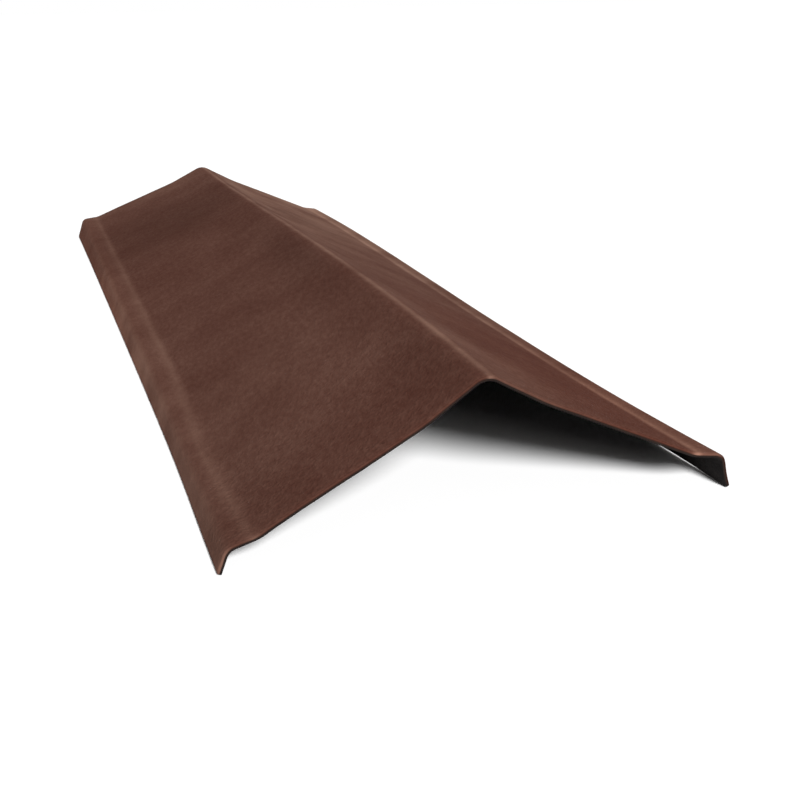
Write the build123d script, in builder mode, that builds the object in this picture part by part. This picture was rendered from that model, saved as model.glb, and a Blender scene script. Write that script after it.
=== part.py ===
"""Bitumen roof edge piece: one moulded sheet of bitumen-soaked fibre, millimetres, +Z up.

The sheet is a shallow inverted V that covers the edge where two roof slopes meet. From the ridge
outwards, each side has a steeper flank, a broad wing, a flatter margin that lies on the roofing,
and a short lip turned down at the outer edge. The piece stands on its two lips. The origin is on
the floor, under the middle of the ridge, and the ridge runs along Y.
"""

import os
from math import cos, radians, sin

from build123d import *

# Overall sizes
length = 1000.0
thickness = 3.0

# Each side of the section, measured along the upper face between the corners of its bends
flank_run = 45.0
wing_run = 109.0
margin_run = 19.0
lip_run = 19.0

# Slope of each stretch below the horizontal, degrees
flank_slope = 32.0
wing_slope = 27.0
margin_slope = 12.0
lip_slope = 72.0

# Bend radii of the upper face
ridge_radius = 14.0
flank_radius = 120.0
margin_radius = 24.0
lip_radius = 8.0

# Rounding of the upper side along the trimmed rim
rim_radius = 1.2


def step_out(start, run, slope):
    """The next corner of the section, a run further out and down at a slope."""
    return (start[0] + run * cos(radians(slope)), start[1] - run * sin(radians(slope)))


# Corners of the right half of the upper face, with the ridge's corner at height 0
ridge_corner = (0.0, 0.0)
flank_corner = step_out(ridge_corner, flank_run, flank_slope)
wing_corner = step_out(flank_corner, wing_run, wing_slope)
margin_corner = step_out(wing_corner, margin_run, margin_slope)
lip_corner = step_out(margin_corner, lip_run, lip_slope)

right_half = [flank_corner, wing_corner, margin_corner, lip_corner]
left_half = [(-x, z) for x, z in reversed(right_half)]
bends = [flank_radius, margin_radius, lip_radius]

# A lip is cut square across, so whichever corner of its cut is lower stands on the floor
lip_foot = min(lip_corner[1], lip_corner[1] - thickness * cos(radians(lip_slope)))

with BuildPart() as edge_piece:
    # The section is drawn at the far end, and the sheet runs from there to the near end
    with BuildSketch(Plane.XZ.offset(-length / 2)) as section:
        with BuildLine(Location((0, -lip_foot))) as outline:
            FilletPolyline(
                *left_half,
                ridge_corner,
                *right_half,
                radius=[*reversed(bends), ridge_radius, *bends],
            )
            offset(amount=thickness, side=Side.RIGHT)
        make_face()
    extrude(amount=length)

    # An edge between two upper faces is a bend, and an edge of only one upper face is on the rim
    upper_edges = edge_piece.faces().filter_by(lambda face: face.normal_at().Z > 0).edges()
    fillet([edge for edge in upper_edges if upper_edges.count(edge) == 1], radius=rim_radius)

edge_piece.part.label = "roof_edge_piece"

os.makedirs("parts", exist_ok=True)
export_step(edge_piece.part, "parts/roof_edge_piece.step")

size = edge_piece.part.bounding_box().size
print(f"roof edge piece: {size.X:.1f} wide, {size.Y:.1f} long, {size.Z:.1f} high")
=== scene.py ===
# %% [markdown]
# # A bitumen roof edge piece
# The object is one sheet of fibre soaked in bitumen, coloured brown on its weather side and pressed
# warm into a shallow upside-down V. It covers the edge where two roof slopes meet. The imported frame
# already holds its size, so Blender adds what a plain solid lacks: the way a real sheet relaxes, its
# trimmed edges, its pressed relief and its three finishes.

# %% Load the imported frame
import math

import bpy
import numpy as np
from mathutils import Matrix, Vector, noise


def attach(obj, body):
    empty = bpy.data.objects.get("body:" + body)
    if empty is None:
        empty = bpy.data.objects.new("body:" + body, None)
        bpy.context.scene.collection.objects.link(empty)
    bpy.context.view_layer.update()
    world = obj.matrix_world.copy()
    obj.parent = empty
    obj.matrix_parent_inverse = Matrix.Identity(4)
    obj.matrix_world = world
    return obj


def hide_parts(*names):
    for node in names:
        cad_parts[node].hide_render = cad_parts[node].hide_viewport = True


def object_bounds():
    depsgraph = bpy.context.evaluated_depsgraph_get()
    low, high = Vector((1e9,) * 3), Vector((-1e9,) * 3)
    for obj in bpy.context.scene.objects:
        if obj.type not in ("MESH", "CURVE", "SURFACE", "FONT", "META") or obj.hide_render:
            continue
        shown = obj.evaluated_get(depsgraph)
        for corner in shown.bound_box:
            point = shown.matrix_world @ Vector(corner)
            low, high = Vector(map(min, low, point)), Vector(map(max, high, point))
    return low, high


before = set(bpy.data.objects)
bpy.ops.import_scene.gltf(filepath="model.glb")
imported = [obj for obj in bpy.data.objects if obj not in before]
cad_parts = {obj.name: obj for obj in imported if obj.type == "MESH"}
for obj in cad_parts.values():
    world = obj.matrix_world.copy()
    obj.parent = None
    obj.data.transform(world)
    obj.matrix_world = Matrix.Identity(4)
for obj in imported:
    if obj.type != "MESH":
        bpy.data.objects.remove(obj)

NODE = "roof_edge_piece"
cad_low, cad_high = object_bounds()
LENGTH = cad_high.y - cad_low.y
print("CAD box, metres:", [round(side, 4) for side in cad_high - cad_low])

# %% [markdown]
# ## The section, as a walk across the sheet
# From the ridge outwards, each side of the real piece has a steeper flank, a broad wing, a flatter
# margin that lies on the roofing, and a lip turned down at the outer edge. Its section could be an
# outline that is extruded, but a pressed sheet bends and doesn't stretch, and this one has bent since
# it left its mould. So we walk across the sheet from the ridge to the lip and note how steeply it
# falls at each distance. Flat stretches keep one slope, and in a bend the slope changes evenly.
# Adding up the small steps gives the section, and opening the V later only means changing slopes.

# %% Distances and slopes from the ridge to the lip
MM = 0.001
THICKNESS = 3.0 * MM
# Runs lie on the upper face, between the corners of the bends, and slopes are in degrees
FLANK_RUN, WING_RUN, MARGIN_RUN, LIP_RUN = 45.0 * MM, 109.0 * MM, 19.0 * MM, 19.0 * MM
FLANK_SLOPE, WING_SLOPE, MARGIN_SLOPE, LIP_SLOPE = 32.0, 27.0, 12.0, 72.0
RIDGE_RADIUS, FLANK_RADIUS, MARGIN_RADIUS, LIP_RADIUS = 14.0 * MM, 120.0 * MM, 24.0 * MM, 8.0 * MM


def bend(radius, turn):
    """Length of the arc of a bend, and how much of each straight side it takes up."""
    angle = math.radians(abs(turn))
    return radius * angle, radius * math.tan(angle / 2)


ridge_arc, ridge_cut = bend(RIDGE_RADIUS, 2 * FLANK_SLOPE)
flank_arc, flank_cut = bend(FLANK_RADIUS, FLANK_SLOPE - WING_SLOPE)
margin_arc, margin_cut = bend(MARGIN_RADIUS, WING_SLOPE - MARGIN_SLOPE)
lip_arc, lip_cut = bend(LIP_RADIUS, LIP_SLOPE - MARGIN_SLOPE)

stretches = [
    ridge_arc / 2,
    FLANK_RUN - ridge_cut - flank_cut,
    flank_arc,
    WING_RUN - flank_cut - margin_cut,
    margin_arc,
    MARGIN_RUN - margin_cut - lip_cut,
    lip_arc,
    LIP_RUN - lip_cut,
]
KNOTS = np.concatenate([[0.0], np.cumsum(stretches)])
WING_END, MARGIN_START, MARGIN_END, LIP_START, REACH = KNOTS[4:]
MOULDED_SLOPES = np.array([0, FLANK_SLOPE, FLANK_SLOPE, WING_SLOPE, WING_SLOPE,
                           MARGIN_SLOPE, MARGIN_SLOPE, LIP_SLOPE, LIP_SLOPE])
print("flat width of the upper face, mm:", round(2 * REACH / MM, 1))

# %% [markdown]
# ## A sheet that has relaxed
# Bitumen creeps, so a piece that has been stored and carried isn't as straight as its mould. In the
# photograph the ridge sinks towards the far end, the wings spread there and the whole piece bows a
# little to the right. The blank also lay askew in the mould, so that one lip grows along the length
# while the other shrinks. A lattice could pull a straight mesh into this shape, but it would stretch
# the sheet. We give the opening and the bow at four stations and let a smooth curve pass through
# them, and every section is rolled until both of its lips stand on the floor.

# %% How the sheet has opened, bowed and turned
STATIONS = np.array([-1.0, -1 / 3, 1 / 3, 1.0]) * LENGTH / 2
# Each side has opened by these degrees, but the ridge's crest stays level and the lips keep their slope
OPENED_BY = np.array([0.0, -1.0, 3.2, 4.5])
OPENED_SHARE = np.array([0, 1, 1, 1, 1, 1, 1, 0, 0])
BOWED_BY = np.array([0.0, -0.5, 4.0, 4.0]) * MM
ASKEW = 11.0 * MM
CURVE_DEGREE, WALK_POINTS = 3, 1200

opened = np.polynomial.Polynomial.fit(STATIONS, OPENED_BY, CURVE_DEGREE)
bowed = np.polynomial.Polynomial.fit(STATIONS, BOWED_BY, CURVE_DEGREE)
WALK, STEP = np.linspace(0.0, REACH + ASKEW / 2, WALK_POINTS, retstep=True)


def reach_at(place):
    """How far the sheet reaches from the ridge, to the left and to the right."""
    return REACH + ASKEW * place / LENGTH, REACH - ASKEW * place / LENGTH


def bent_section(across, place):
    """Sideways place and height of the upper face, at signed distances across from the ridge."""
    slopes = np.radians(np.interp(WALK, KNOTS, MOULDED_SLOPES - opened(place) * OPENED_SHARE))
    middle = (slopes[1:] + slopes[:-1]) / 2
    out = np.concatenate([[0.0], np.cumsum(STEP * np.cos(middle))])
    drop = np.concatenate([[0.0], np.cumsum(STEP * np.sin(middle))])

    # The two feet come first, because the section is rolled until they are level
    left, right = reach_at(place)
    every = np.concatenate([[-left, right], across])
    side = np.sign(every) * np.interp(np.abs(every), WALK, out)
    height = -np.interp(np.abs(every), WALK, drop)

    roll = math.atan2(height[1] - height[0], side[1] - side[0])
    side, height = (side * math.cos(roll) + height * math.sin(roll),
                    height * math.cos(roll) - side * math.sin(roll))
    side += bowed(place) - (side[0] + side[1]) / 2
    height += THICKNESS * math.cos(math.radians(LIP_SLOPE)) - height[0]
    return side[2:], height[2:]


for station in STATIONS:
    side, height = bent_section(np.array([-1, 0, 1]) * REACH, station)
    ridge_height, width = height[1] / MM, (side[2] - side[0]) / MM
    print(f"at {station / MM:.0f} mm: ridge {ridge_height:.1f} mm high, {width:.0f} mm wide")

# %% [markdown]
# ## Trimmed edges
# The blank was trimmed with a blade that wandered a little and left a slight fray of fibre ends. The
# right lip also has a shallow nick near its near end, and a thin line of floor shows under it. Edges
# can be cut out of a mesh with a Boolean, but that leaves long, thin triangles. Here the grid simply
# ends where the blade went, so all we need is how far each edge draws in at each place.

# %% How far each edge draws in
TRIM_WANDER, TRIM_LENGTH = 0.5 * MM, 16.0 * MM
TRIM_FRAY, FRAY_LENGTH, FRAY_LAYER = 0.3 * MM, 5.0 * MM, 7.0
NICK_DEPTH, NICK_PLACE, NICK_LENGTH = 2.2 * MM, -450.0 * MM, 42.0 * MM
LEFT_LIP, RIGHT_LIP, NEAR_END, FAR_END = range(4)


def hump(value, middle, width):
    """A soft hump that is 1 at its middle and falls away over its width."""
    return np.exp(-(((value - middle) / width) ** 2))


def trim(place, edge):
    """How far the cut is drawn in at a place along one of the four edges."""
    wander = noise.noise((place / TRIM_LENGTH, edge, 0.0))
    fray = noise.noise((place / FRAY_LENGTH, edge, FRAY_LAYER))
    return TRIM_WANDER * (1 + wander) / 2 + TRIM_FRAY * (1 + fray) / 2


def trimmed_reach_at(place):
    """How far the trimmed lips reach from the ridge, to the left and to the right."""
    left, right = reach_at(place)
    nick = NICK_DEPTH * hump(place, NICK_PLACE, NICK_LENGTH)
    return left - trim(place, LEFT_LIP), right - trim(place, RIGHT_LIP) - nick


for place in (-LENGTH / 2, NICK_PLACE, LENGTH / 2):
    left, right = trimmed_reach_at(place)
    print(f"at {place / MM:.0f} mm: lips reach {left / MM:.1f} mm left and {right / MM:.1f} mm right")

# %% [markdown]
# ## Rows and columns of the sheet
# The real sheet was flat before it was pressed, and so is the mesh: a grid with a column of points
# for each place along the ridge and a row for each distance across it. A subdivided plane would have
# even rows. Ours crowd together where the sheet bends, so that each bend stays round without wasting
# points on the flat wings, and the rows of a lip stretch with it, because its length changes.

# %% Lay out the grid
SHOULDER = 1.2 * MM
COLUMN_SPACING, ROW_SPACING, BEND_SPACING = 4.0 * MM, 3.0 * MM, 1.3 * MM
LIP_ROWS = 6

inner = [0.0]
for number, (start, end) in enumerate(zip(KNOTS[:-2], KNOTS[1:-1])):
    is_bend = number % 2 == 0
    count = max(1, round((end - start) / (BEND_SPACING if is_bend else ROW_SPACING)))
    inner.extend(np.linspace(start, end, count + 1)[1:])
inner = np.array(inner)
lip_shares = np.linspace(0.0, 1.0, LIP_ROWS + 1)[1:]

columns = round(LENGTH / COLUMN_SPACING)
rows = 2 * (len(inner) + LIP_ROWS) - 1
across = np.zeros((columns, rows))
for column, place in enumerate(np.linspace(-LENGTH / 2, LENGTH / 2, columns)):
    left_lip, right_lip = (
        LIP_START + lip_shares * (reach - SHOULDER - LIP_START) for reach in trimmed_reach_at(place)
    )
    across[column] = np.concatenate([-left_lip[::-1], -inner[:0:-1], inner, right_lip])
near_end = [-LENGTH / 2 + SHOULDER + trim(place, NEAR_END) for place in across[0]]
far_end = [LENGTH / 2 - SHOULDER - trim(place, FAR_END) for place in across[-1]]
along = np.linspace(near_end, far_end, columns)
print(columns, "columns along the ridge and", rows, "rows across it")

# %% [markdown]
# ## Bending the grid
# Now each column takes the section of its place along the ridge. The near end needs a little more,
# because a cut end springs: there the bend of the right lip is rounder, the left wing is arched up
# and the left lip is splayed outwards. Sculpting could do this, but it can't be repeated exactly, so
# soft humps move the points instead, and they fade out along the piece.

# %% Bend the grid
BULGE, BULGE_WIDTH, BULGE_LENGTH = 1.5 * MM, 8.0 * MM, 80.0 * MM
ARCH, ARCH_PLACE, ARCH_WIDTH = 2.7 * MM, -140.0 * MM, 53.0 * MM
SPLAY, SPRUNG_LENGTH = 2.0 * MM, 110.0 * MM


def soft_step(value, start, end):
    """A smooth rise from 0 at the start to 1 at the end."""
    share = np.clip((value - start) / (end - start), 0.0, 1.0)
    return share * share * (3 - 2 * share)


upper = np.zeros((columns, rows, 3))
for column in range(columns):
    upper[column, :, 0], upper[column, :, 2] = bent_section(across[column], along[column].mean())
upper[..., 1] = along

bulged = hump(along, -LENGTH / 2, BULGE_LENGTH)
upper[..., 0] += BULGE * hump(across, LIP_START, BULGE_WIDTH) * bulged
sprung = hump(along, -LENGTH / 2, SPRUNG_LENGTH)
on_left_lip = soft_step(-across, MARGIN_END, REACH)
upper[..., 2] += ARCH * hump(across, ARCH_PLACE, ARCH_WIDTH) * (1 - on_left_lip) * sprung
upper[..., 0] -= SPLAY * on_left_lip * sprung
crest = upper[:, rows // 2, 2] / MM
print(f"the ridge is {crest[0]:.1f} mm high at the near end and {crest[-1]:.1f} mm at the far end")

# %% [markdown]
# ## Pressed relief
# The sheet is felted from short fibres, so it isn't as smooth as plastic: it has slow waves as long
# as a hand and small lumps where fibres clump together. A Displace modifier on the finished sheet
# would move its two faces apart. We move the upper face with Blender's own noise before the sheet
# gets its thickness, so that both faces follow and the waves show in outline and under raking light.
# Finer grain is left to the material.

# %% Raise the relief
# Each wave has a length and a height, and all fade out towards the lips, which stand on the floor
WAVES = ((150.0 * MM, 0.7 * MM), (45.0 * MM, 0.18 * MM), (13.0 * MM, 0.06 * MM))
LIP_CALM = 60.0 * MM


def unit(vectors):
    """The same directions with length 1."""
    return vectors / np.linalg.norm(vectors, axis=-1, keepdims=True)


along_way = unit(np.gradient(upper, axis=0))
across_way = unit(np.gradient(upper, axis=1))
up_way = unit(np.cross(across_way, along_way))

raised = np.zeros((columns, rows))
for cell in np.ndindex(columns, rows):
    spot = Vector((across[cell], along[cell], 0.0))
    raised[cell] = sum(height * noise.noise(spot / size) for size, height in WAVES)
raised *= np.clip((REACH - np.abs(across)) / LIP_CALM, 0.0, 1.0)
upper += up_way * raised[..., None]
print("relief from", round(raised.min() / MM, 2), "to", round(raised.max() / MM, 2), "mm")

# %% [markdown]
# ## Closing the sheet
# A sheet has thickness, and its trimmed edge is the part that the eye meets first. Its upper corner
# is rounded, and the blade drags the brown colour half-way down the cut: below, the cut shows bare
# bitumen. A Solidify modifier gives thickness but only a square edge, and a Bevel after it knows
# nothing of finishes. So we carry the outline of the grid over the edge in a few rings, from the
# rounded shoulder down the cut to the underside.

# %% The outline of the grid and the way out from it
last_column, last_row = columns - 1, rows - 1
outline = [(0, row) for row in range(rows)]
outline += [(column, last_row) for column in range(1, columns)]
outline += [(last_column, row) for row in range(rows - 2, -1, -1)]
outline += [(column, 0) for column in range(columns - 2, 0, -1)]
outline_columns, outline_rows = np.array(outline).T

outwards = np.zeros((len(outline), 3))
outwards -= along_way[outline_columns, outline_rows] * (outline_columns == 0)[:, None]
outwards += along_way[outline_columns, outline_rows] * (outline_columns == last_column)[:, None]
outwards -= across_way[outline_columns, outline_rows] * (outline_rows == 0)[:, None]
outwards += across_way[outline_columns, outline_rows] * (outline_rows == last_row)[:, None]
print("the outline has", len(outline), "points")

# %% Rings over the trimmed edge
COATED, CUT, UNDERSIDE = 0, 1, 2
LOWER_EDGE = 0.4 * MM
ROUND_STEPS = 4
quarter = np.linspace(0.0, math.pi / 2, ROUND_STEPS + 1)[1:]
# Each ring says how far out and how far down it lies, and the finish of the strip that ends at it
rings = [(SHOULDER * math.sin(turn), SHOULDER * (1 - math.cos(turn)), COATED) for turn in quarter]
rings += [(SHOULDER, THICKNESS / 2, COATED), (SHOULDER, THICKNESS - LOWER_EDGE, CUT)]
rings += [
    (SHOULDER - LOWER_EDGE * (1 - math.cos(turn)),
     THICKNESS - LOWER_EDGE * (1 - math.sin(turn)),
     UNDERSIDE)
    for turn in quarter
]
edge = upper[outline_columns, outline_rows]
edge_up = up_way[outline_columns, outline_rows]
ring_points = [edge + out * outwards - down * edge_up for out, down, finish in rings]

lower = upper - THICKNESS * up_way
lower[outline_columns, outline_rows] = ring_points[-1]
print(len(rings), "rings go over the edge")

# %% [markdown]
# ## From arrays to one mesh
# The real piece has no seams, so it is one closed mesh and not a stack of parts. It could be joined
# from separate faces and merged by distance, but then the order of its points would be lost. Instead
# all points go into one list: the upper grid, the lower grid, and the rings between. A face only
# needs the numbers of its four corners, and a material number that says which finish it takes.

# %% Build the mesh
upper_index = np.arange(columns * rows).reshape(columns, rows)
lower_index = upper_index + columns * rows
loops = [upper_index[outline_columns, outline_rows]]
for number in range(len(rings) - 1):
    loops.append(2 * columns * rows + number * len(outline) + np.arange(len(outline)))
loops.append(lower_index[outline_columns, outline_rows])


def grid_faces(index):
    """Four corners of every cell of a grid of point numbers, seen from its upper side."""
    corners = [index[:-1, :-1], index[:-1, 1:], index[1:, 1:], index[1:, :-1]]
    return np.stack(corners, axis=-1).reshape(-1, 4)


faces = [grid_faces(upper_index), grid_faces(lower_index)[:, ::-1]]
finishes = [np.full(len(faces[0]), COATED), np.full(len(faces[1]), UNDERSIDE)]
for first, second, (out, down, finish) in zip(loops[:-1], loops[1:], rings):
    strip = np.stack([first, second, np.roll(second, -1), np.roll(first, -1)], axis=-1)
    faces.append(strip)
    finishes.append(np.full(len(strip), finish))
points = np.concatenate([upper.reshape(-1, 3), lower.reshape(-1, 3), *ring_points[:-1]])
points[:, 2] -= points[:, 2].min()

mesh = bpy.data.meshes.new("bitumen_sheet")
mesh.from_pydata(points.tolist(), [], np.concatenate(faces).tolist())
mesh.polygons.foreach_set("material_index", np.concatenate(finishes))
mesh.polygons.foreach_set("use_smooth", np.ones(len(mesh.polygons), dtype=bool))
mesh.update()
sheet = bpy.data.objects.new("bitumen_sheet", mesh)
bpy.context.scene.collection.objects.link(sheet)
print(len(mesh.vertices), "points,", 2 * len(mesh.polygons), "triangles")

# %% [markdown]
# ## Remembering the flat sheet
# Fibres, stains and wear belong to the sheet, not to the air around it. A UV map could hold a place
# on the sheet, but it has no depth, and the cut edge needs one. So each point keeps its place on the
# flat sheet as an attribute of three numbers, and the materials lay their patterns out on that.

# %% Store the flat place
flat_grid = np.stack([across, along, np.zeros_like(across)], axis=-1)
flat_edge = flat_grid[outline_columns, outline_rows]
flat_rings = [flat_edge + out * np.sign(flat_edge) + [0, 0, down] for out, down, finish in rings[:-1]]
flat_grid = flat_grid.reshape(-1, 3)
flat_place = np.concatenate([flat_grid, flat_grid + [0.0, 0.0, THICKNESS], *flat_rings])
flat_x, flat_y, depth = flat_place.T

attribute = mesh.attributes.new("flat_place", "FLOAT_VECTOR", "POINT")
attribute.data.foreach_set("vector", flat_place.ravel())
print("flat sheet, mm:", [round(side / MM, 1) for side in np.ptp(flat_place, axis=0)])

# %% [markdown]
# ## Rubbed places and painted sheen
# Hands, stacking and the mould rub the colour thin along the ridge and the bends of the margins.
# The same paler mix also paints light: a highlight along the ridge on top of its wear, and painted
# sheen on the right flank, on the right margin, over the far half of the right wing and along the
# far edge. The lips and the left margin are drawn paler too. Such marks could be painted on the
# points by hand. Sums of soft humps and steps are easier to read and to change: each line adds one
# paler place, as a share by which the coat will mix towards a paler brown.

# %% Wear and a painted highlight on the ridge, painted sheen on the right flank, bends and margins
# The ridge is rubbed and carries a painted highlight, and the right flank carries painted sheen
RIDGE_WEAR_AND_HIGHLIGHT, RIDGE_LINE = 0.34, 2.5 * MM
RIGHT_FLANK_SHEEN, FLANK_START, FLANK_FULL, FLANK_FADE = 0.12, -3.0 * MM, 4.0 * MM, 60.0 * MM
LEFT_CREASE_RUB, RIGHT_CREASE_RUB, CREASE_WIDTH = 0.14, 0.40, 3.0 * MM
# The rubbed line of the left margin swings outwards towards the near end
SWING, SWING_PLACE, SWING_LENGTH = 5.0 * MM, -370.0 * MM, 110.0 * MM
# The right margin's share is painted sheen, and the left margin is drawn paler, more at mid-length
LEFT_MARGIN_PALING, MID_MARGIN_PALING, RIGHT_MARGIN_SHEEN = 0.03, 0.06, 0.16
MID_SPAN = 280.0 * MM

from_ridge = np.abs(flat_x)
is_right = flat_x > 0
at_mid_length = hump(flat_y, 0.0, MID_SPAN)
crease = MARGIN_START + SWING * hump(flat_y, SWING_PLACE, SWING_LENGTH) * ~is_right
crease_rub = np.where(is_right, RIGHT_CREASE_RUB, LEFT_CREASE_RUB)
margin_paling = np.where(is_right, RIGHT_MARGIN_SHEEN, LEFT_MARGIN_PALING + MID_MARGIN_PALING * at_mid_length)

# Wear and a painted highlight along the ridge, and painted sheen on the right flank
wear_and_sheen = RIDGE_WEAR_AND_HIGHLIGHT * hump(flat_x, RIDGE_LINE, RIDGE_LINE)
wear_and_sheen += RIGHT_FLANK_SHEEN * soft_step(flat_x, FLANK_START, FLANK_FULL) * hump(flat_x, 0.0, FLANK_FADE)
wear_and_sheen += crease_rub * hump(from_ridge, crease, CREASE_WIDTH)
# Paler margins, where the right margin's share is painted sheen
wear_and_sheen += margin_paling * soft_step(from_ridge, WING_END, MARGIN_START)
print("rubbed up to", round(wear_and_sheen.max(), 2), "at the ridge and the margins")

# %% Paler lips, painted sheen on the far right wing and along the far edge, and a pale patch
LIP_PALING, FAR_LIP_LOSS, MID_LIP_PALING = 0.22, 0.14, 0.26
# What changes towards the far end would be complete only past it, so it's still growing there
FAR_FROM, FAR_TO = -350.0 * MM, 650.0 * MM
# Painted sheen over the far half of the right wing and along the far edge
FAR_WING_SHEEN, FAR_WING_START = 0.45, 25.0 * MM
FAR_EDGE_SHEEN, FAR_EDGE_START = 0.14, 420.0 * MM
# A patch has its place across and along, its half-widths across and along, all in mm, and a strength
PALE_PATCHES = ((-110.0, -320.0, 70.0, 70.0, 0.07),)


def patches(table):
    """The sum of soft patches on the flat sheet."""
    return sum(
        strength * hump(flat_x, across_at * MM, wide * MM) * hump(flat_y, along_at * MM, long * MM)
        for across_at, along_at, wide, long, strength in table
    )


towards_far = soft_step(flat_y, FAR_FROM, FAR_TO)
# The lips are drawn paler, less towards the far end and more at mid-length
lip_paling = LIP_PALING - FAR_LIP_LOSS * towards_far + MID_LIP_PALING * at_mid_length
wear_and_sheen += lip_paling * soft_step(from_ridge, MARGIN_END, LIP_START)
# Painted sheen over the far right wing and along the far edge
wear_and_sheen += FAR_WING_SHEEN * soft_step(flat_x, 0.0, FAR_WING_START) * towards_far
wear_and_sheen += FAR_EDGE_SHEEN * soft_step(flat_y, FAR_EDGE_START, LENGTH / 2)
wear_and_sheen += patches(PALE_PATCHES)

# The rim of the right lip gets neither wear nor painted sheen: the photograph shows it dark
is_rim = np.arange(len(flat_place)) >= 2 * columns * rows
on_right_lip = soft_step(flat_x, MARGIN_END, LIP_START)
wear_and_sheen *= 1 - is_rim * on_right_lip
print("rubbed up to", round(wear_and_sheen.max(), 2), "in all")

# %% [markdown]
# ## Stains and redder places
# The real coat has a few broad, dark stains, its rim is darker where bitumen shows through, and it
# looks a little redder on the near right wing and on the left lip. The rim of the right lip is drawn
# darker still. Painted textures could hold these, but a few soft patches on the flat sheet are
# enough and never show pixels. The three shares, wear and sheen, stained and reddened, are stored as
# attributes, so that the material can read them at every point.

# %% Where the coat is stained and redder
STAINS = (
    (-85.0, 300.0, 110.0, 130.0, 0.34),
    (-18.0, -110.0, 16.0, 110.0, 0.18),
    (-14.0, -440.0, 22.0, 70.0, 0.16),
    (-110.0, -470.0, 80.0, 50.0, 0.08),
    (-60.0, 230.0, 30.0, 60.0, 0.08),
    (105.0, -360.0, 45.0, 90.0, 0.12),
    (95.0, 230.0, 35.0, 80.0, 0.20),
)
REDDER = (
    (120.0, -400.0, 80.0, 180.0, 0.9),
    (-187.0, 250.0, 16.0, 500.0, 1.0),
)
RIM_STAIN, CUT_STAIN, RIGHT_LIP_RIM_DARKENING = 0.45, 0.4, 0.45

stained = patches(STAINS)
stained += is_rim * (RIM_STAIN + CUT_STAIN * soft_step(depth, SHOULDER / 2, THICKNESS / 2))
# The rim of the right lip is drawn darker still
stained += is_rim * RIGHT_LIP_RIM_DARKENING * on_right_lip
reddened = patches(REDDER)
for name, share in (("wear_and_sheen", wear_and_sheen), ("stained", stained), ("reddened", reddened)):
    attribute = mesh.attributes.new(name, "FLOAT", "POINT")
    attribute.data.foreach_set("value", share)
    print(name, "up to", round(share.max(), 2))

# %% [markdown]
# ## Colours and nodes
# Colours are written as the hex values that a screen shows, and shaders work in linear light, so one
# function converts them. Nodes could be wired by hand in the Shader Editor, but written out they can
# be read from top to bottom. So a second small function adds a node, sets its values and links its
# inputs, and a third makes an empty material.


# %% Three helpers for materials
def linear(hex_colour):
    """An sRGB hex colour as linear RGBA."""
    shown = [int(hex_colour[start:start + 2], 16) / 255 for start in (1, 3, 5)]
    light = [tone / 12.92 if tone <= 0.04045 else ((tone + 0.055) / 1.055) ** 2.4 for tone in shown]
    return (*light, 1.0)


def add(tree, kind, links=None, values=None, **settings):
    """A node of a kind, with its settings, the values of its inputs and what links into them."""
    node = tree.nodes.new(kind)
    for name, value in settings.items():
        setattr(node, name, value)
    for socket, value in (values or {}).items():
        node.inputs[socket].default_value = value
    for socket, source in (links or {}).items():
        tree.links.new(source, node.inputs[socket])
    return node


def new_material(name):
    """A material without nodes, and its node tree."""
    material = bpy.data.materials.new(name)
    material.use_nodes = True
    material.node_tree.nodes.clear()
    return material, material.node_tree


print("screen grey #808080 is", round(linear("#808080")[0], 3), "in linear light")

# %% [markdown]
# ## Brown coated bitumen fibre
# The weather side is a felt of short fibres soaked in bitumen, with a matt coat of pigment and resin
# that sinks in and dries. The eye sees a dull brown: cloudy where the felt drank more of the coat,
# with a faint grain along the length, where the fibres were laid. A photograph of a real sheet could
# be a texture, but it would blur up close and repeat, so noise on the flat sheet makes the pattern.

# %% Clouds, grain and browns
coat, tree = new_material("brown_coated_bitumen_fibre")
place = add(tree, "ShaderNodeAttribute", attribute_name="flat_place").outputs["Vector"]

# Real fibres are a fraction of a millimetre thick: the grain is drawn coarser, so that it shows
CLOUD_SIZE, GRAIN_SIZE = 90.0 * MM, 4.0 * MM
CLOUD_SEED, GRAIN_STRETCH = 7.11, 2.0
clouds = add(tree, "ShaderNodeTexNoise", noise_dimensions="4D", links={"Vector": place},
             values={"W": CLOUD_SEED, "Scale": 1 / CLOUD_SIZE,
                     "Detail": 4.0, "Roughness": 0.68}).outputs["Fac"]
grain_place = add(tree, "ShaderNodeMapping", vector_type="TEXTURE", links={"Vector": place},
                  values={"Scale": (GRAIN_SIZE, GRAIN_STRETCH * GRAIN_SIZE, GRAIN_SIZE)}).outputs["Vector"]
grain = add(tree, "ShaderNodeTexNoise", links={"Vector": grain_place},
            values={"Scale": 1.0, "Detail": 4.0, "Roughness": 0.75}).outputs["Fac"]
felt = add(tree, "ShaderNodeMix", values={"Factor": 0.5}, links={"A": clouds, "B": grain}).outputs["Result"]
browns = add(tree, "ShaderNodeValToRGB", links={"Fac": felt})
browns.color_ramp.elements[0].position = 0.35
browns.color_ramp.elements[0].color = linear("#4d2f27")
browns.color_ramp.elements[1].position = 0.65
browns.color_ramp.elements[1].color = linear("#66483e")
browns.color_ramp.elements.new(0.5).color = linear("#593b32")
print("clouds of", CLOUD_SIZE / MM, "mm and grain of", GRAIN_SIZE / MM, "mm")

# %% [markdown]
# ## Stains, wear and painted sheen in the coat
# Where the coat is stained, or so thin that a fleck of bare felt shows, the brown mixes towards a
# bitumen black-brown. Where it is rubbed, and where highlight and sheen are painted, it turns pale
# and dusty, and unevenly, because the clouds of the felt take the wear differently. Layers of
# separate materials could do this, but mixing the colours in one material keeps one surface, as on
# the real sheet.

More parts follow.
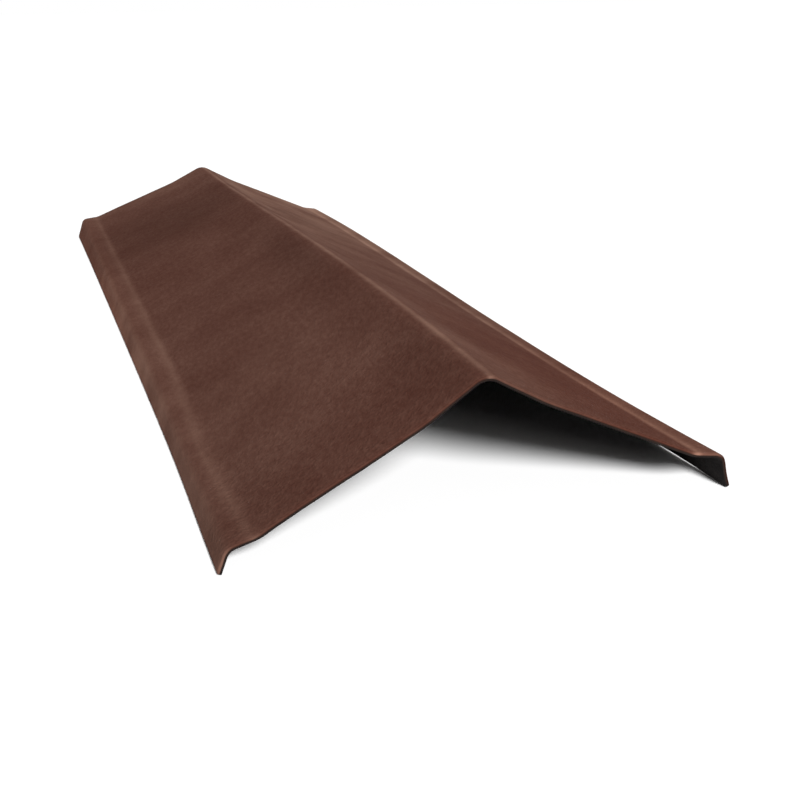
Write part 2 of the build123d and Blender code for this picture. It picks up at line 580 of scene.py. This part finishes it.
# %% Stained, flecked, worn and redder colours, with painted highlight and sheen
stained_here = add(tree, "ShaderNodeAttribute", attribute_name="stained").outputs["Fac"]
wear_and_sheen_here = add(tree, "ShaderNodeAttribute", attribute_name="wear_and_sheen").outputs["Fac"]
reddened_here = add(tree, "ShaderNodeAttribute", attribute_name="reddened").outputs["Fac"]

# Flecks of bare felt are finer on the real sheet: they are drawn as coarse as they need to show
FLECK_SIZE = 3.5 * MM
fleck = add(tree, "ShaderNodeTexNoise", links={"Vector": place},
            values={"Scale": 1 / FLECK_SIZE, "Detail": 2.0, "Roughness": 0.6}).outputs["Fac"]
bare_spots = add(tree, "ShaderNodeMapRange", links={"Value": fleck},
                 values={"From Min": 0.62, "From Max": 0.80, "To Max": 0.30}).outputs["Result"]
darkening = add(tree, "ShaderNodeMath", operation="ADD", links={0: stained_here, 1: bare_spots},
                use_clamp=True).outputs[0]
darkened = add(tree, "ShaderNodeMix", data_type="RGBA", values={"B": linear("#2c1711")},
               links={"Factor": darkening, "A": browns.outputs["Color"]}).outputs["Result"]

unevenness = add(tree, "ShaderNodeMapRange", links={"Value": clouds},
                 values={"From Min": 0.38, "From Max": 0.62,
                         "To Min": 0.6, "To Max": 1.4}).outputs["Result"]
# The pale mix carries wear, the painted highlight on the ridge and painted sheen
wear_and_sheen_amount = add(tree, "ShaderNodeMath", operation="MULTIPLY", links={0: wear_and_sheen_here, 1: unevenness},
                 use_clamp=True).outputs[0]
paled_by_wear_and_sheen = add(tree, "ShaderNodeMix", data_type="RGBA", values={"B": linear("#907061")},
           links={"Factor": wear_and_sheen_amount, "A": darkened}).outputs["Result"]
tinted = add(tree, "ShaderNodeMix", data_type="RGBA", blend_type="MULTIPLY",
             values={"B": linear("#ffe9e2")},
             links={"Factor": reddened_here, "A": paled_by_wear_and_sheen}).outputs["Result"]
print("flecks of", FLECK_SIZE / MM, "mm")

# %% [markdown]
# ## The surface of the coat
# The face of the real felt is pitted with tiny dimples. Meshing each one would take millions of
# points, so a bump tells the light how the surface tilts: dimples first, then the felt's own clouds
# and grain. Dried resin has an IOR of about 1.5, but here it lies in among the fibres, so the surface
# is fully rough and almost all of the shine is lost.

# %% Dimples, bump and surface
# The dimples, too, are drawn as coarse as they need to show
DIMPLE_SIZE, DIMPLE_DEPTH, FELT_DEPTH = 2.5 * MM, 0.28 * MM, 0.8 * MM
dimples = add(tree, "ShaderNodeTexVoronoi", voronoi_dimensions="2D", feature="SMOOTH_F1",
              links={"Vector": place},
              values={"Scale": 1 / DIMPLE_SIZE, "Detail": 1.0, "Smoothness": 0.6}).outputs["Distance"]
pitted = add(tree, "ShaderNodeBump", links={"Height": dimples},
             values={"Strength": 1.0, "Distance": DIMPLE_DEPTH})
bump = add(tree, "ShaderNodeBump", links={"Height": felt, "Normal": pitted.outputs["Normal"]},
           values={"Strength": 1.0, "Distance": FELT_DEPTH})
surface = add(tree, "ShaderNodeBsdfPrincipled",
              links={"Base Color": tinted, "Normal": bump.outputs["Normal"]},
              values={"Roughness": 1.0, "IOR": 1.5, "Specular IOR Level": 0.02})
add(tree, "ShaderNodeOutputMaterial", links={"Surface": surface.outputs["BSDF"]})
mesh.materials.append(coat)
print(coat.name, "has", len(tree.nodes), "nodes")

# %% [markdown]
# ## Bare bitumen fibre
# The cut edge and the underside show the soaked felt itself. The eye sees a matt near-black, with
# clumps of fibre and patches where more bitumen has soaked in. The cut is a little browner, because
# the blade drags colour and fibre ends across it. One dark material could serve both, but the eye
# tells a cut from a pressed face, so a loop makes two from the same nodes, each with its own colours.

# %% Cut edge and underside
# Bitumen's IOR is about 1.6, but at the low shine of a matt felt the usual 1.5 looks the same. Clumps
# of fibre are some millimetres across, and soaked patches are as broad as a hand's palm
CLUMP_SIZE, PATCH_SIZE, CLUMP_DEPTH = 6.0 * MM, 60.0 * MM, 1.0 * MM
for name, dark, light in (
    ("cut_bitumen_fibre_edge", "#140d0b", "#241914"),
    ("bare_bitumen_underside", "#050404", "#201a18"),
):
    bare, tree = new_material(name)
    place = add(tree, "ShaderNodeAttribute", attribute_name="flat_place").outputs["Vector"]
    clumps = add(tree, "ShaderNodeTexNoise", links={"Vector": place},
                 values={"Scale": 1 / CLUMP_SIZE, "Detail": 6.0, "Roughness": 0.7}).outputs["Fac"]
    soaked = add(tree, "ShaderNodeTexNoise", links={"Vector": place},
                 values={"Scale": 1 / PATCH_SIZE, "Detail": 3.0, "Roughness": 0.6}).outputs["Fac"]
    fibres = add(tree, "ShaderNodeMix", values={"Factor": 0.4},
                 links={"A": clumps, "B": soaked}).outputs["Result"]
    blacks = add(tree, "ShaderNodeValToRGB", links={"Fac": fibres})
    blacks.color_ramp.elements[0].position = 0.35
    blacks.color_ramp.elements[0].color = linear(dark)
    blacks.color_ramp.elements[1].position = 0.7
    blacks.color_ramp.elements[1].color = linear(light)
    bump = add(tree, "ShaderNodeBump", links={"Height": clumps},
               values={"Strength": 1.0, "Distance": CLUMP_DEPTH})
    surface = add(tree, "ShaderNodeBsdfPrincipled",
                  links={"Base Color": blacks.outputs["Color"], "Normal": bump.outputs["Normal"]},
                  values={"Roughness": 0.7, "IOR": 1.5, "Specular IOR Level": 0.08})
    add(tree, "ShaderNodeOutputMaterial", links={"Surface": surface.outputs["BSDF"]})
    mesh.materials.append(bare)
    print(bare.name, "has", len(tree.nodes), "nodes")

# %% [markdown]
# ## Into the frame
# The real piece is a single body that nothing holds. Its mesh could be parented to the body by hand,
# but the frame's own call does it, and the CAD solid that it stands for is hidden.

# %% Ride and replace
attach(sheet, "root")
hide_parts(NODE)
print(sheet.name, "stands for", NODE)

# %% [markdown]
# ## White floor
# The piece lies on a plain white floor, as in a product picture. A curved backdrop would need its own
# shape, and a floor that runs on far past the picture looks the same. The camera sees it a touch
# brighter than it is, so that it reads as white paper, while it keeps its shadow.

# %% Floor
scene = bpy.context.scene
scene.view_settings.view_transform = "Standard"
FLOOR_HALF, SEEN_WHITE = 40.0, 1.08

floor_corners = [(-FLOOR_HALF, -FLOOR_HALF, 0), (FLOOR_HALF, -FLOOR_HALF, 0),
                 (FLOOR_HALF, FLOOR_HALF, 0), (-FLOOR_HALF, FLOOR_HALF, 0)]
floor_mesh = bpy.data.meshes.new("floor")
floor_mesh.from_pydata(floor_corners, [], [(0, 1, 2, 3)])
floor = bpy.data.objects.new("floor", floor_mesh)
scene.collection.objects.link(floor)

paper, tree = new_material("white_paper_floor")
ray = add(tree, "ShaderNodeLightPath").outputs
tone = add(tree, "ShaderNodeMapRange", links={"Value": ray["Is Camera Ray"]},
           values={"To Min": 1.0, "To Max": SEEN_WHITE}).outputs["Result"]
white = add(tree, "ShaderNodeBsdfDiffuse", links={"Color": tone})
add(tree, "ShaderNodeOutputMaterial", links={"Surface": white.outputs["BSDF"]})
floor_mesh.materials.append(paper)
print("floor of", 2 * FLOOR_HALF, "m")

# %% [markdown]
# ## Light
# The hollow under the real sheet falls into deep shade a hand's breadth behind its mouth, and its
# wings are lit alike. So one soft lamp stands in front and gives most of the light, a weak, lower lamp
# reaches deeper under the sheet, so that the shade fades in gradually, and the room adds a little
# from all sides. Area lamps would fall off along the piece, so both lamps are suns with a wide disc.
# Each has a share of the floor's light, and the three shares add up to a white floor.

# %% Room
ROOM_SHARE = 0.10
world = bpy.data.worlds.new("studio")
scene.world = world
world.use_nodes = True
tree = world.node_tree
tree.nodes.clear()
ray = add(tree, "ShaderNodeLightPath").outputs
seen = add(tree, "ShaderNodeMath", operation="MAXIMUM",
           links={0: ray["Is Camera Ray"], 1: ray["Is Glossy Ray"]}).outputs[0]
seen = add(tree, "ShaderNodeMath", operation="MAXIMUM",
           links={0: seen, 1: ray["Is Transmission Ray"]}).outputs[0]
level = add(tree, "ShaderNodeMapRange", links={"Value": seen}, values={"To Min": ROOM_SHARE, "To Max": 1.0})
sky = add(tree, "ShaderNodeBackground", links={"Strength": level.outputs["Result"]},
          values={"Color": (1.0, 1.0, 1.0, 1.0)})
add(tree, "ShaderNodeOutputWorld", links={"Surface": sky.outputs["Background"]})
print("room gives", ROOM_SHARE, "of the floor's light")


# %% Lamps
def direction(azimuth, elevation):
    """The way from the piece towards a lamp or a camera, at degrees round from the front and up."""
    turn, climb = math.radians(azimuth), math.radians(elevation)
    return Vector((math.sin(turn) * math.cos(climb), -math.cos(turn) * math.cos(climb), math.sin(climb)))


# Share of the floor's light, then azimuth, elevation and width of the disc in degrees
for name, share, azimuth, elevation, width in (
    ("front_lamp", 0.85, 1.0, 31.0, 15.0),
    ("low_lamp", 0.05, 1.0, 23.0, 16.0),
):
    lamp = bpy.data.lights.new(name, "SUN")
    lamp.energy = share * math.pi / math.sin(math.radians(elevation))
    lamp.angle = math.radians(width)
    lamp_object = bpy.data.objects.new(name, lamp)
    lamp_object.rotation_euler = direction(azimuth, elevation).to_track_quat("Z", "Y").to_euler()
    scene.collection.objects.link(lamp_object)
    print(name, "gives", share, "of the floor's light")

# %% [markdown]
# ## Camera
# The camera stands where the photograph was taken from: low, to the left of the ridge's line, and
# turned a little clockwise. A Track To constraint would aim it at a point, but it can't hold the
# roll, so we build its three axes from the way that it looks and turn them about that way.

# %% Camera at the photograph's place
CAMERA_PLACE = Vector((-0.24015, -1.04258, 0.28957))
CAMERA_AZIMUTH, CAMERA_ELEVATION, CAMERA_ROLL = -18.754, 19.52, -1.12
FOCAL_PIXELS, PICTURE_PIXELS, SENSOR_WIDTH = 1131.0, 800, 36.0

back = direction(CAMERA_AZIMUTH, CAMERA_ELEVATION)
right = Vector((0, 0, 1)).cross(back).normalized()
axes = Matrix((right, back.cross(right), back)).transposed()
axes = axes @ Matrix.Rotation(math.radians(CAMERA_ROLL), 3, "Z")

camera = bpy.data.objects.new("camera", bpy.data.cameras.new("camera"))
camera.data.sensor_width = SENSOR_WIDTH
camera.data.lens = FOCAL_PIXELS / PICTURE_PIXELS * SENSOR_WIDTH
camera.matrix_world = Matrix.Translation(CAMERA_PLACE) @ axes.to_4x4()
scene.collection.objects.link(camera)
scene.camera = camera
print("lens", round(camera.data.lens, 1), "mm")

# %% [markdown]
# ## Finish
# The scene is brought up to date.

# %% Finish
bpy.context.view_layer.update()
